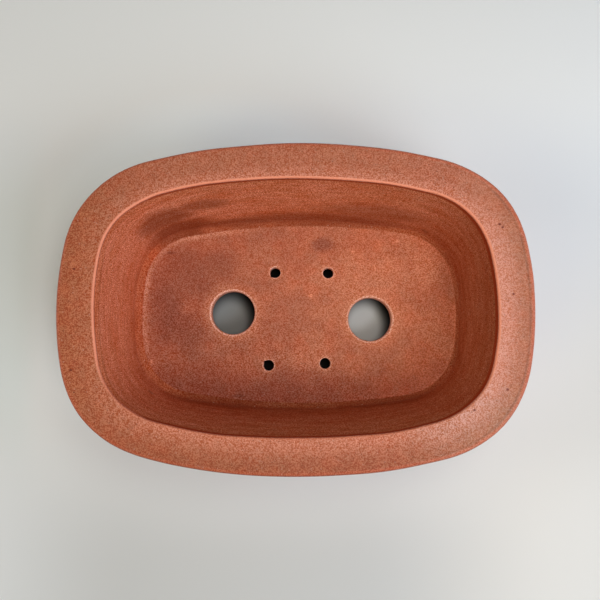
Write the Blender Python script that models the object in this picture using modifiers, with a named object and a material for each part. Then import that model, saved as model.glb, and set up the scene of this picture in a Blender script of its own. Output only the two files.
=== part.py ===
"""A rectangular bonsai pot of unglazed clay, as the pieces that a potter makes and joins.

A floor slab stands on four bracket feet. One band of clay makes the wall round its edge, a coil is pressed into the
inside corner, and a wide flat lip lies on the wall. Metres, +Z up. The origin is on the ground below the middle of the
pot, +X runs along its length and -Y faces the front.
"""

import math

import bmesh
import bpy
from mathutils import Vector

# Overall form
POT_LENGTH = 0.300
POT_WIDTH = 0.2098
POT_HEIGHT = 0.094

# Plan: a rectangle with bowed sides, whose corners are arcs that run smoothly into them
LIP_SIDE_RADIUS = 0.407
LIP_END_RADIUS = 0.202
LIP_CORNER_RADIUS = 0.0723
FLOOR_SIDE_RADIUS = 0.490
FLOOR_END_RADIUS = 0.1615
FLOOR_CORNER_RADIUS = 0.0435

# Lip
LIP_BREADTH = 0.0235
LIP_THICKNESS = 0.0095
LIP_ROUNDING = 0.0022
LIP_INNER_LEAN = 0.0006  # how far the inner face leans in from top to bottom, to run on into the wall

# Wall
WALL_THICKNESS = 0.008
WALL_BELLY = 0.0016  # how far the outside swells beyond a straight taper, at half height
END_TAPER = 0.0067  # how far each short end leans in, from the lip to the floor
SIDE_TAPER = 0.0120  # the same for each long side

# Floor, and the coil in its corner
FLOOR_THICKNESS = 0.009
FLOOR_ROUNDING = 0.005
COVE_RADIUS = 0.0032
COVE_EDGE = 0.0008  # the coil's thickness where its cove runs out

# Feet
FOOT_HEIGHT = 0.013
FOOT_BREADTH = 0.014
FOOT_INSET = 0.005
FOOT_MIDDLE = 50.0  # degrees round the corner's centre, from +X, at which the middle of a foot lies
FOOT_REACH = 60.0  # degrees of that arc that a foot covers between its round ends
FOOT_ROUNDING = 0.002

# Holes in the floor, punched by hand, so that each has its own place
DRAIN_DIAMETER = 0.032
DRAIN_LEFT = (-0.0469, 0.0005)
DRAIN_RIGHT = (0.0545, -0.0044)
WIRE_DIAMETER = 0.0079
WIRE_BACK_LEFT = (-0.0158, 0.0304)
WIRE_BACK_RIGHT = (0.0237, 0.0301)
WIRE_FRONT_LEFT = (-0.0204, -0.0383)
WIRE_FRONT_RIGHT = (0.0212, -0.0369)
DRAIN_CHAMFER = 0.0011
WIRE_CHAMFER = 0.0005

# The pieces are pressed together: this is all that parts them
JOINT_GAP = 0.0003

WELD = 0.00001  # corners of one mesh this near each other are one corner

# Fineness of the round shapes
END_STEPS = 5
CORNER_STEPS = 12
SIDE_STEPS = 7
WALL_ROWS = 4
ROUNDING_STEPS = 3
COVE_STEPS = 4
FOOT_STEPS = 8
FOOT_END_STEPS = 5
DRAIN_SIDES = 32
WIRE_SIDES = 16

# Heights that follow from the sizes above
FLOOR_BOTTOM = FOOT_HEIGHT + JOINT_GAP
FLOOR_TOP = FOOT_HEIGHT + FLOOR_THICKNESS
LIP_BOTTOM = POT_HEIGHT - LIP_THICKNESS
WALL_BOTTOM = FLOOR_TOP + JOINT_GAP
WALL_TOP = LIP_BOTTOM - JOINT_GAP

RED_CLAY = (0.36, 0.135, 0.075, 1.0)
PALE_CLAY = (0.43, 0.175, 0.105, 1.0)
DARK_CLAY = (0.29, 0.105, 0.055, 1.0)


def clear_scene():
    for old in list(bpy.data.objects):
        bpy.data.objects.remove(old, do_unlink=True)


def make_collection(name):
    collection = bpy.data.collections.new(name)
    bpy.context.scene.collection.children.link(collection)
    return collection


def clay(name, colour):
    material = bpy.data.materials.new(name)
    material.use_nodes = True
    shader = material.node_tree.nodes["Principled BSDF"]
    shader.inputs["Base Color"].default_value = colour
    shader.inputs["Roughness"].default_value = 0.85
    shader.inputs["Metallic"].default_value = 0.0
    return material


def quarter_arcs(half_length, half_width, side_radius, end_radius, corner_radius):
    """A quarter of the plan from +X to +Y as three arcs, each a centre, a radius and its two turns in radians."""
    end = Vector((half_length - end_radius, 0))
    side = Vector((0, half_width - side_radius))
    # The corner's arc touches the other two from inside, so its centre has a set distance from each of theirs
    from_end, from_side = end_radius - corner_radius, side_radius - corner_radius
    apart = side - end
    way = apart.normalized()
    along = (from_end**2 - from_side**2 + apart.length_squared) / (2 * apart.length)
    across = math.sqrt(from_end**2 - along**2)
    corner = end + way * along + Vector((-way.y, way.x)) * across
    first = math.atan2(corner.y - end.y, corner.x - end.x)
    second = math.atan2(corner.y - side.y, corner.x - side.x)
    return [
        (end, end_radius, 0, first),
        (corner, corner_radius, first, second),
        (side, side_radius, second, math.pi / 2),
    ]


def arc_points(centre, radius, start, stop, steps):
    """Points along an arc, with both its ends."""
    turns = [start + (stop - start) * step / steps for step in range(steps + 1)]
    return [centre + Vector((math.cos(turn), math.sin(turn))) * radius for turn in turns]


def outline(arcs):
    """The whole plan, anticlockwise from +X, mirrored from the arcs of its first quarter."""
    quarter = []
    for arc, steps in zip(arcs, (END_STEPS, CORNER_STEPS, SIDE_STEPS)):
        quarter = quarter[:-1] + arc_points(*arc, steps)
    onward, returning = quarter[:-1], quarter[:0:-1]
    points = []
    for turned, to_right, to_back in ((onward, 1, 1), (returning, -1, 1), (onward, -1, -1), (returning, 1, -1)):
        points += [Vector((point.x * to_right, point.y * to_back)) for point in turned]
    return points


def inset(points, distance):
    """The outline moved inwards by one distance all round."""
    moved = []
    for index, point in enumerate(points):
        tangent = points[(index + 1) % len(points)] - points[index - 1]
        inward = Vector((-tangent.y, tangent.x)).normalized()
        moved.append(point + inward * distance)
    return moved


def lip_outline():
    radii = LIP_SIDE_RADIUS, LIP_END_RADIUS, LIP_CORNER_RADIUS
    return outline(quarter_arcs(POT_LENGTH / 2, POT_WIDTH / 2, *radii))


def floor_arcs(outwards):
    """The plan of the wall's foot inside, or a distance outwards of it."""
    top_inset = LIP_BREADTH + LIP_INNER_LEAN
    sizes = (
        POT_LENGTH / 2 - top_inset - END_TAPER,
        POT_WIDTH / 2 - top_inset - SIDE_TAPER,
        FLOOR_SIDE_RADIUS,
        FLOOR_END_RADIUS,
        FLOOR_CORNER_RADIUS,
    )
    return quarter_arcs(*(size + outwards for size in sizes))


def wall_outline(height):
    """The wall's inner face at a height, which leans out evenly from the floor's outline to the lip's."""
    top = inset(lip_outline(), LIP_BREADTH + LIP_INNER_LEAN)
    share = (height - FLOOR_TOP) / (LIP_BOTTOM - FLOOR_TOP)
    return [low.lerp(high, share) for low, high in zip(outline(floor_arcs(0)), top)]


def outer_wall_outline(height):
    share = (height - FLOOR_TOP) / (LIP_BOTTOM - FLOOR_TOP)
    belly = WALL_BELLY * math.sin(math.pi * share)
    return inset(wall_outline(height), -(WALL_THICKNESS + belly))


def slab_outline():
    """The slab reaches out as far as the foot of the wall that stands on it."""
    return outline(floor_arcs(WALL_THICKNESS))


def link(name, mesh, collection, colour):
    made = bpy.data.objects.new(name, mesh)
    collection.objects.link(made)
    mesh.materials.clear()
    mesh.materials.append(clay(name + "_clay", colour))
    return made


def drawn_curve(name, points, collection):
    """A flat curve object through one closed outline."""
    curve = bpy.data.curves.new(name, "CURVE")
    curve.dimensions = "2D"
    spline = curve.splines.new("POLY")
    spline.points.add(len(points) - 1)
    spline.use_cyclic_u = True
    for place, point in zip(spline.points, points):
        place.co = (point.x, point.y, 0, 1)
    drawn = bpy.data.objects.new(name, curve)
    collection.objects.link(drawn)
    return drawn


def mesh_from_curve(name, drawn, collection, colour):
    """The curve object as a mesh object in its place, with any caps welded to the sides."""
    bpy.context.view_layer.update()
    evaluated = drawn.evaluated_get(bpy.context.evaluated_depsgraph_get())
    mesh = bpy.data.meshes.new_from_object(evaluated)
    shape = bmesh.new()
    shape.from_mesh(mesh)
    bmesh.ops.remove_doubles(shape, verts=shape.verts, dist=WELD)
    bmesh.ops.recalc_face_normals(shape, faces=shape.faces)
    shape.to_mesh(mesh)
    shape.free()
    made = link(name, mesh, collection, colour)
    made.matrix_world = drawn.matrix_world
    bpy.data.objects.remove(drawn, do_unlink=True)
    return made


def join_caps(made):
    """Makes each flat end one face, so that a bevel round it has room."""
    shape = bmesh.new()
    shape.from_mesh(made.data)
    flat = [edge for edge in shape.edges if all(abs(face.normal.z) > 0.999 for face in edge.link_faces)]
    bmesh.ops.dissolve_edges(shape, edges=flat, use_verts=False)
    shape.to_mesh(made.data)
    shape.free()


def extruded(name, points, low, high, collection, colour):
    """A flat piece of one outline between two heights."""
    drawn = drawn_curve(name + "_outline", points, collection)
    drawn.data.fill_mode = "BOTH"
    drawn.data.extrude = (high - low) / 2
    drawn.location.z = (low + high) / 2
    made = mesh_from_curve(name, drawn, collection, colour)
    join_caps(made)
    return made


def lip_section(breadth, thickness, rounding, lean):
    """A rectangle with round corners, centred on the origin, whose inner side at +X leans."""
    points = []
    for quarter, (x_side, y_side) in enumerate(((1, 1), (-1, 1), (-1, -1), (1, -1))):
        centre = Vector((x_side * (breadth / 2 - rounding), y_side * (thickness / 2 - rounding)))
        for step in range(ROUNDING_STEPS + 1):
            turn = math.pi / 2 * (quarter + step / ROUNDING_STEPS)
            point = centre + Vector((math.cos(turn), math.sin(turn))) * rounding
            if x_side > 0:
                point.x += lean * (0.5 - point.y / thickness)
            points.append(point)
    return points


def loft_ring(name, rings, collection, colour):
    """A closed band through the rings in turn and back to the first, where each ring is (height, points)."""
    shape = bmesh.new()
    rows = [[shape.verts.new((point.x, point.y, height)) for point in points] for height, points in rings]
    for row, following in zip(rows, rows[1:] + rows[:1]):
        for index in range(len(row)):
            after = (index + 1) % len(row)
            shape.faces.new((row[index], row[after], following[after], following[index]))
    bmesh.ops.recalc_face_normals(shape, faces=shape.faces)
    mesh = bpy.data.meshes.new(name)
    shape.to_mesh(mesh)
    shape.free()
    return link(name, mesh, collection, colour)


def round_lower_edge(made, radius):
    """Rounds the edge round a flat piece's underside."""
    weights = made.data.attributes.new("bevel_weight_edge", "FLOAT", "EDGE")
    for edge, weight in zip(made.data.edges, weights.data):
        weight.value = float(all(made.data.vertices[index].co.z < 0 for index in edge.vertices))
    bevel = made.modifiers.new("rounded_lower_edge", "BEVEL")
    bevel.width = radius
    bevel.segments = ROUNDING_STEPS
    bevel.limit_method = "WEIGHT"


def shade(made):
    made.data.shade_smooth()
    made.data.set_sharp_from_angle(angle=math.radians(35))


def make_lip(collection, guides):
    """The lip's rounded section, swept round the middle of its breadth."""
    section = lip_section(LIP_BREADTH, LIP_THICKNESS, LIP_ROUNDING, LIP_INNER_LEAN)
    guide = drawn_curve("lip_section", section, guides)
    guide.data.fill_mode = "NONE"
    guide.hide_render = True
    guide.display_type = "WIRE"
    path = drawn_curve("lip_path", inset(lip_outline(), LIP_BREADTH / 2), collection)
    path.data.fill_mode = "NONE"
    path.data.bevel_mode = "OBJECT"
    path.data.bevel_object = guide
    path.location.z = (LIP_BOTTOM + POT_HEIGHT) / 2
    shade(mesh_from_curve("lip", path, collection, PALE_CLAY))


def make_wall(collection):
    heights = [WALL_BOTTOM + (WALL_TOP - WALL_BOTTOM) * row / WALL_ROWS for row in range(WALL_ROWS + 1)]
    inside = [(height, wall_outline(height)) for height in heights]
    outside = [(height, outer_wall_outline(height)) for height in reversed(heights)]
    shade(loft_ring("wall", inside + outside, collection, RED_CLAY))


def make_joint_coil(collection):
    """The coil backs onto the wall and the slab, and its open side is a cove."""
    section = [(JOINT_GAP, JOINT_GAP), (COVE_EDGE + COVE_RADIUS, JOINT_GAP)]
    for step in range(COVE_STEPS + 1):
        turn = math.pi / 2 * (1 - step / COVE_STEPS)
        depth = COVE_EDGE + COVE_RADIUS * (1 - math.cos(turn))
        rise = COVE_EDGE + COVE_RADIUS * (1 - math.sin(turn))
        section.append((depth, rise))
    section.append((JOINT_GAP, COVE_EDGE + COVE_RADIUS))
    rings = []
    for depth, rise in section:
        height = FLOOR_TOP + rise
        rings.append((height, inset(wall_outline(height), depth)))
    shade(loft_ring("joint_coil", rings, collection, RED_CLAY))


def punch(slab, name, centre, diameter, chamfer, sides, cutters):
    """Cuts one round hole through the slab, opened out a little at its upper edge."""
    past = FLOOR_THICKNESS / 2
    radius = diameter / 2
    profile = [
        (0, FLOOR_TOP + past),
        (radius + chamfer + past, FLOOR_TOP + past),
        (radius, FLOOR_TOP - chamfer),
        (radius, FLOOR_BOTTOM - past),
        (0, FLOOR_BOTTOM - past),
    ]
    mesh = bpy.data.meshes.new(name)
    edges = [(index, index + 1) for index in range(len(profile) - 1)]
    mesh.from_pydata([(reach, 0, height) for reach, height in profile], edges, [])
    cutter = bpy.data.objects.new(name, mesh)
    cutter.location = (centre[0], centre[1], 0)
    cutter.hide_render = True
    cutter.display_type = "WIRE"
    cutters.objects.link(cutter)
    turned = cutter.modifiers.new("turned", "SCREW")
    turned.steps = sides
    turned.render_steps = sides
    turned.use_merge_vertices = True
    turned.merge_threshold = WELD
    turned.use_smooth_shade = False
    cut = slab.modifiers.new(name, "BOOLEAN")
    cut.operation = "DIFFERENCE"
    cut.solver = "EXACT"
    cut.object = cutter


def make_floor(collection, cutters):
    slab = extruded("floor_slab", slab_outline(), FLOOR_BOTTOM, FLOOR_TOP, collection, RED_CLAY)
    round_lower_edge(slab, FLOOR_ROUNDING)
    for name, centre in (("drain_left", DRAIN_LEFT), ("drain_right", DRAIN_RIGHT)):
        punch(slab, name, centre, DRAIN_DIAMETER, DRAIN_CHAMFER, DRAIN_SIDES, cutters)
    wire_holes = (
        ("wire_back_left", WIRE_BACK_LEFT),
        ("wire_back_right", WIRE_BACK_RIGHT),
        ("wire_front_left", WIRE_FRONT_LEFT),
        ("wire_front_right", WIRE_FRONT_RIGHT),
    )
    for name, centre in wire_holes:
        punch(slab, name, centre, WIRE_DIAMETER, WIRE_CHAMFER, WIRE_SIDES, cutters)
    shade(slab)


def foot_outline(to_right, to_back):
    """One bracket foot in plan: a band with round ends, parallel to the slab's corner."""
    centre, radius, _, _ = floor_arcs(WALL_THICKNESS - FOOT_INSET)[1]
    start, stop = (math.radians(FOOT_MIDDLE + FOOT_REACH * share) for share in (-0.5, 0.5))
    outer = arc_points(centre, radius, start, stop, FOOT_STEPS)
    inner = arc_points(centre, radius - FOOT_BREADTH, stop, start, FOOT_STEPS)
    far_end = round_end(outer[-1], inner[0])
    near_end = round_end(inner[-1], outer[0])
    points = outer + far_end + inner + near_end
    return [Vector((point.x * to_right, point.y * to_back)) for point in points]


def round_end(start, stop):
    """The points of a half circle between two points, anticlockwise, without the two."""
    centre = (start + stop) / 2
    arm = start - centre
    square = Vector((-arm.y, arm.x))
    turns = [math.pi * step / FOOT_END_STEPS for step in range(1, FOOT_END_STEPS)]
    return [centre + arm * math.cos(turn) + square * math.sin(turn) for turn in turns]


def make_feet(collection):
    for end, to_back in (("front", -1), ("back", 1)):
        for side, to_right in (("left", -1), ("right", 1)):
            points = foot_outline(to_right, to_back)
            foot = extruded(f"foot_{end}_{side}", points, 0, FOOT_HEIGHT, collection, DARK_CLAY)
            round_lower_edge(foot, FOOT_ROUNDING)
            shade(foot)


def main():
    clear_scene()
    pot = make_collection("rectangular_bonsai_pot")
    cutters = make_collection("cutters_and_guides")
    make_lip(pot, cutters)
    make_wall(pot)
    make_joint_coil(pot)
    make_floor(pot, cutters)
    make_feet(pot)


main()
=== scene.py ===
"""The looks of a rectangular bonsai pot in unglazed red clay, seen from above on a pale table."""

import math

import bmesh
import bpy
import numpy as np
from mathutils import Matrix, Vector
from mathutils.geometry import delaunay_2d_cdt


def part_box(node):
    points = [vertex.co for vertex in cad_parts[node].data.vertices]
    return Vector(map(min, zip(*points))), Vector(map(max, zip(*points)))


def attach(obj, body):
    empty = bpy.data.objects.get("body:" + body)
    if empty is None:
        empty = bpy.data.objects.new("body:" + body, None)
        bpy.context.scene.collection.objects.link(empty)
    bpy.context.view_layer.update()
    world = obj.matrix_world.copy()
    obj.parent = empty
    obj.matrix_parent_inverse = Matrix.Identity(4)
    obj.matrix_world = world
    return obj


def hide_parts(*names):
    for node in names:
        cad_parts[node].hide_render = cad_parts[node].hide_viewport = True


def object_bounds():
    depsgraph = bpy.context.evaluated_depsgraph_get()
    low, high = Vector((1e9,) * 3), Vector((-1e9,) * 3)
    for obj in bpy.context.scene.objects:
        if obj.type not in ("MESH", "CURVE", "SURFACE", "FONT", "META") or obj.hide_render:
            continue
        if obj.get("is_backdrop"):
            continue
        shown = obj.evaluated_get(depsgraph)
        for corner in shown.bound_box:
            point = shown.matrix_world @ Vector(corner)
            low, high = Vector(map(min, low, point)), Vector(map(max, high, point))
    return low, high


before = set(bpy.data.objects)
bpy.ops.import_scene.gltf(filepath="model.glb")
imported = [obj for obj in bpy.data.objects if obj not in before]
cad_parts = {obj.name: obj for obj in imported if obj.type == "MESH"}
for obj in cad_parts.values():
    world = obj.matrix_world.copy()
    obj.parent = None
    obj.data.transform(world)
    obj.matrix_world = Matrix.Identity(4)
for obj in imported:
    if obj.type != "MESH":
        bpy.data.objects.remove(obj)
CAD_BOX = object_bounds()

# Sizes that the frame gives, in metres
LIP_LOW, LIP_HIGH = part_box("lip")
SLAB_LOW, SLAB_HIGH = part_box("floor_slab")
HALF_LENGTH, HALF_WIDTH = LIP_HIGH.x, LIP_HIGH.y
POT_TOP, LIP_UNDERSIDE = LIP_HIGH.z, LIP_LOW.z
FLOOR_TOP, FLOOR_UNDERSIDE = SLAB_HIGH.z, SLAB_LOW.z

# The form, with the same values as the solids
LIP_RADII = (0.407, 0.202, 0.0723)  # of a long side, a short end and a corner
FLOOR_RADII = (0.490, 0.1615, 0.0435)
LIP_BREADTH = 0.0235
LIP_INNER_LEAN = 0.0006  # from the lip's inner edge to the top of the wall's inner face
WALL_THICKNESS = 0.008
WALL_BELLY = 0.0016
END_TAPER = 0.0067  # how far the wall comes in on its way down, at a short end and at a long side
SIDE_TAPER = 0.0120
FLOOR_ROUNDING = 0.005
COVE_RADIUS = 0.0038
FOOT_BREADTH = 0.014
FOOT_INSET = 0.005
FOOT_MIDDLE = 50.0  # a foot's direction and reach about the centre of the slab's corner, in degrees
FOOT_REACH = 60.0
DRAIN_RADIUS = 0.016
WIRE_RADIUS = 0.00395

# Rounding and unevenness that the solids leave out
FLOOR_SHIFT = (0.0007, 0)  # the wall's foot stands a little to the right under the lip
LIP_OUTER_ROUNDING = 0.0026
LIP_BEAD_ROUNDING = 0.0014  # the lip's inner edge is a small bead, and the wall starts just under it
LIP_BEAD_STEP = 0.0006
LIP_BEAD_HEIGHT = 0.0026
UNDER_LIP_FILLET = 0.0035
DRAIN_ROUNDING = 0.0016
WIRE_ROUNDING = 0.0008
HOLE_LOWER_ROUNDING = 0.0006
FOOT_FILLET = 0.0022
FOOT_ROUNDING = 0.002
FOOT_LAST_ROW = 0.003  # a row of corners this far below the fillet keeps the foot's side evenly shaded
# Waves of the lip's outer and inner edge: direction and half width in degrees, reach outwards in metres
OUTER_WAVES = (
    (8, 6, 0.0004),
    (27, 10, 0.0013),
    (57, 8, 0.0003),
    (110, 14, -0.0006),
    (134, 9, -0.0009),
    (158, 8, 0.0004),
    (206, 6, 0.0005),
    (223, 6, -0.0006),
    (250, 12, 0.0002),
    (299, 10, 0.0006),
    (331, 7, 0.0005),
)
INNER_WAVES = (
    (18, 9, -0.0005),
    (57, 11, 0.0007),
    (122, 9, 0.0004),
    (142, 9, -0.0012),
    (190, 13, -0.0006),
    (217, 5, -0.0004),
    (241, 11, 0.0009),
    (272, 8, -0.0002),
    (303, 10, 0.0011),
    (335, 7, 0.0004),
    (353, 6, 0.0004),
)

# Kinds of hole: radius, rounding of the upper edge, points round it
DRAIN = (DRAIN_RADIUS, DRAIN_ROUNDING, 96)
WIRE = (WIRE_RADIUS, WIRE_ROUNDING, 48)
# Holes: centre, kind, direction of a nick in the edge in degrees
HOLES = (
    ((-0.0469, 0.0005), DRAIN, None),
    ((0.0545, -0.0044), DRAIN, None),
    ((-0.0158, 0.0304), WIRE, 225),
    ((0.0237, 0.0301), WIRE, None),
    ((-0.0204, -0.0383), WIRE, 140),
    ((0.0212, -0.0369), WIRE, None),
)
NICK_DEPTH = 0.0008
NICK_SPREAD = 12.0  # in degrees round the hole

MM = 1000  # millimetres in a metre

# Marks that the corners carry for the materials. On the lip's top it is the depth from the outer edge, and
# on the floor the distance from its edge, in millimetres
WALL_MARK = 40.0  # the mark of the lip's inner face just under the bead
WALL_MARK_RISE = 10.0  # how much the mark has grown where that face ends
INNER_FACE_MARK = 1.0  # the mark of the wall's inner face, while its outer face has 0
HOLE_MARK = 30.0  # the mark of the corners round the floor's holes, far from the floor's edge

# Fineness
END_STEPS, CORNER_STEPS, SIDE_STEPS = 32, 48, 40
LIP_FLAT_STEPS = 13
LIP_INNER_STEPS = 7
LIP_UNDER_STEPS = 7
WALL_ROWS = 36
FOOT_STEPS = 24
FOOT_END_STEPS = 14
FOOT_ROUNDING_STEPS = 6
SMALL_ROUNDING_STEPS, ROUNDING_STEPS, LARGE_ROUNDING_STEPS = 4, 8, 10
FLOOR_SPACING = 0.003
GRID_CLEARANCE = FLOOR_SPACING * 0.45
MERGE_DISTANCE = 1e-7
SMOOTH_ANGLE = math.radians(40)

# Clay colours, as the display shows them
LIP_TONE = (176, 92, 56)
LIP_RED = (184, 86, 50)
LIP_BROWN = (158, 88, 58)
LIP_PALE = (226, 132, 98)
# wear and a painted highlight on the bead
BEAD_WEAR_AND_HIGHLIGHT = (252, 156, 122)
EDGE_RED = (214, 100, 68)
WALL_TONE = (190, 102, 65)
WALL_RED = (184, 89, 51)
WALL_WORN = (204, 118, 84)
FLOOR_TONE = (190, 103, 69)
FLOOR_RED = (196, 98, 62)
# the tone of the floor's stains, and of a patch of painted shade at its front
FLOOR_STAIN_AND_SHADE = (128, 62, 44)
# the tone of the wall's stains, and of the painted shade along its foot
WALL_STAIN_AND_SHADE = (114, 44, 18)
FLOOR_PALE = (226, 140, 102)
# dark grains, and also the painted shade on the lip's outer rounding
DARK_GRAIN_AND_SHADE = (80, 30, 12)
CREASE_TONE = (112, 32, 4)
# painted shade under the bead
UNDER_BEAD_SHADE = (160, 52, 4)
PALE_GRAIN = (240, 205, 185)
RIM_TONE = (250, 184, 156)
PLAIN = (1, 1, 1)  # a tint that changes nothing
# The sand: the size of its lumps in millimetres, and how far red, green and blue go down and up with it
SAND_SIZE = 0.72
SAND_DOWN = (0.27, 0.61, 0.93)
SAND_UP = (0.27, 0.67, 1.1)
# Dark specks on the lip: x, y and size in millimetres
LIP_SPECKS = (
    (-138.8, 23.1, 0.9),
    (-138.8, -39.9, 0.9),
    (-136.4, -53.5, 0.6),
    (130.5, -51.8, 0.9),
    (109.8, -64.3, 0.8),
    (128.5, 51.5, 0.9),
    (130.4, 49.6, 0.8),
    (136.0, 7.3, 0.8),
)
# Stains on the floor, and one patch of painted shade at its front: x, y and half sizes in millimetres, and
# how far they turn the clay
FLOOR_STAINS_AND_SHADE = (
    (-80, 28, 22, 20, 0.42),
    (-96, 2, 12, 26, 0.55),
    (-82, -14, 16, 16, 0.45),
    (-60, 36, 16, 12, 0.35),
    # painted shade at the front, where the front wall's shadow falls
    (0, -56, 34, 16, 0.14),
    (19.2, 51.5, 8, 5, 0.55),
    (-92.9, 45.1, 4, 1.2, 0.6),
    (-42.3, -60.5, 5, 1.2, 0.5),
)
FLOOR_MARK_HEIGHT = 6  # the half height of each stain and smear
# Pale smears on the floor, and one patch of painted light at the back right, in the same way as the stains
FLOOR_SMEARS_AND_LIGHT = (
    (10.6, 13.2, 1.6, 1.4, 0.8),
    # painted light beside the cove at the back right, where it faces the lamps
    (96, 34, 9, 16, 0.4),
    (60, 26, 34, 14, 0.25),
    (4, -34, 18, 7, 0.22),
    (75.3, 54.0, 1.6, 1.2, 0.6),
    (42.3, 45.8, 1.4, 1.2, 0.6),
    (-106.9, -35.9, 1.4, 1.6, 0.6),
)
# Dark stains on the wall's inner face, and painted shade low along its foot where it meets the cove: x, y,
# z and half sizes in millimetres, and how far they go
WALL_STAINS_AND_SHADE = (
    (-84, 60, 30, 27, 15, 15, 0.68),
    (-93, 63, 54, 21, 16, 15, 0.64),
    (-45, 68, 26, 36, 8, 7, 0.6),
    (20, 68, 28, 62, 9, 12, 0.57),
    (58, 70, 46, 42, 9, 13, 0.4),
    (-65, 71, 62, 19, 10, 7.5, 0.5),
    (-60, -65, 26, 40, 10, 7, 0.35),
    (70, -63, 26, 34, 12, 7, 0.35),
    (-116, 0, 25, 8, 60, 5, 0.15),
    (94.0, 59.7, 31.8, 3, 3, 2, 0.5),
    (-101.9, -57.5, 43.3, 2.5, 2.5, 2, 0.5),
)
# Pale smears on it, in the same way
WALL_SMEARS = (
    (-118.3, 43.3, 59.8, 1.2, 1.2, 1.1, 0.6),
    (-95.1, 64.6, 59.7, 1.0, 1.0, 0.9, 0.4),
    (-78.3, 68.5, 48.8, 1.0, 1.0, 0.9, 0.4),
    (-53.0, -76.9, 68.8, 1.1, 1.1, 1.0, 0.5),
    (-60.5, -71.5, 46.8, 1.1, 1.1, 1.0, 0.5),
)

# Soft lamps: name, azimuth and elevation in degrees, distance and size in metres, power in watts, colour
LAMPS = (
    ("ceiling", 30, 78, 0.8, 0.4, 1.74, (1.0, 0.98, 0.88)),
    ("window", 315, 45, 1.1, 0.65, 4.46, (0.77, 0.88, 1.0)),
    ("window_top", 315, 60, 1.5, 0.5, 3.39, (1.0, 0.9, 0.81)),
    ("left_wall", 180, 30, 1.5, 0.5, 5.13, (1.0, 0.975, 0.935)),
    ("right_wall", 0, 30, 1.1, 0.5, 3.24, (0.62, 0.74, 1.0)),
    ("front_left", 225, 45, 1.5, 0.5, 1.95, (1.0, 0.93, 0.6)),
)

# Camera, measured from the middle of the lip's plane
CAMERA_X = 0.00268
CAMERA_Y = -0.03023
CAMERA_ABOVE_LIP = 0.3825
CAMERA_TILT = math.radians(5.043)
CAMERA_LENS = 36.95
SENSOR_WIDTH = 36.0
CLIP_START = 0.01

# Table: its size in metres, its finish, and where it goes over into the backdrop
TABLE_SIZE = 6.0
TABLE_ROUGHNESS = 0.9
TABLE_FADE_START = 0.5
TABLE_FADE_END = 1.6
# Its tones as linear RGBA: the plain one, painted light behind the pot and close to it, painted shade at
# its left and at the front right corner, the painted soft shade at the front, and the painted shade under
# the pot
TABLE_TONE = (0.86, 0.86, 0.85, 1)
TABLE_LIGHT_BEHIND = (0.91, 0.9, 0.87, 1)
TABLE_LIGHT_NEAR = (0.95, 0.99, 1, 1)
TABLE_SHADE_LEFT = (0.79, 0.83, 0.82, 1)
TABLE_CORNER_SHADE = (0.82, 0.78, 0.72, 1)
TABLE_SHADED = (0.63, 0.62, 0.595, 1)
TABLE_UNDER_POT = (0.02, 0.02, 0.022, 1)
# Light on the table below the drain holes: x, y and half sizes in millimetres, and how strong it is
LIGHT_BELOW = (
    (-51, -6, 15, 19, 0.33),
    (52, -9, 15, 19, 0.68),
)
# The backdrop's tone, and the light of the world
BACKDROP = (0.66, 0.66, 0.65, 1)
WORLD_LIGHT = (0.018, 0.019, 0.02, 1)


def quarter_arcs(half_length, half_width, side_radius, end_radius, corner_radius):
    """A quarter of the plan from +X to +Y: three arcs that touch, as centre, radius and two turns."""
    end = np.array([half_length - end_radius, 0])
    side = np.array([0, half_width - side_radius])
    from_end, from_side = end_radius - corner_radius, side_radius - corner_radius
    apart = side - end
    distance = np.linalg.norm(apart)
    way = apart / distance
    along = (from_end**2 - from_side**2 + distance**2) / (2 * distance)
    across = math.sqrt(from_end**2 - along**2)
    corner = end + way * along + np.array([-way[1], way[0]]) * across
    first = math.atan2(corner[1] - end[1], corner[0] - end[0])
    second = math.atan2(corner[1] - side[1], corner[0] - side[0])
    return [
        (end, end_radius, 0, first),
        (corner, corner_radius, first, second),
        (side, side_radius, second, math.pi / 2),
    ]


def arc_points(centre, radius, start, stop, steps):
    """Points along an arc in plan, with both its ends."""
    turns = np.linspace(start, stop, steps + 1)
    return centre + radius * np.column_stack([np.cos(turns), np.sin(turns)])


def outline(arcs):
    """The whole plan, anticlockwise from +X, mirrored from the arcs of its first quarter."""
    all_steps = (END_STEPS, CORNER_STEPS, SIDE_STEPS)
    end, corner, side = [arc_points(*part, steps) for part, steps in zip(arcs, all_steps)]
    quarter = np.concatenate([end, corner[1:], side[1:]])
    onward, returning = quarter[:-1], quarter[:0:-1]
    return np.concatenate([onward, returning * (-1, 1), onward * (-1, -1), returning * (1, -1)])


def inset(points, distance):
    """A closed outline moved inwards, by one distance or by one for each of its points."""
    tangent = np.roll(points, -1, 0) - np.roll(points, 1, 0)
    inward = np.column_stack([-tangent[:, 1], tangent[:, 0]])
    return points + inward / np.linalg.norm(inward, axis=1)[:, None] * np.reshape(distance, (-1, 1))


def waved(points, waves):
    """How far each point of an outline is moved outwards by the unevenness of the hand-made edge."""
    turns = np.degrees(np.arctan2(points[:, 1], points[:, 0]))
    reach = np.zeros(len(points))
    for middle, width, height in waves:
        away = (turns - middle + 180) % 360 - 180
        reach += height * np.exp(-((away / width) ** 2))
    return reach


def arc(centre, radius, start, end, steps):
    """Points on an arc in a section, from one turn to another in degrees."""
    turns = np.radians(np.linspace(start, end, steps + 1))
    return [(centre[0] + radius * math.cos(turn), centre[1] + radius * math.sin(turn)) for turn in turns]


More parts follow.
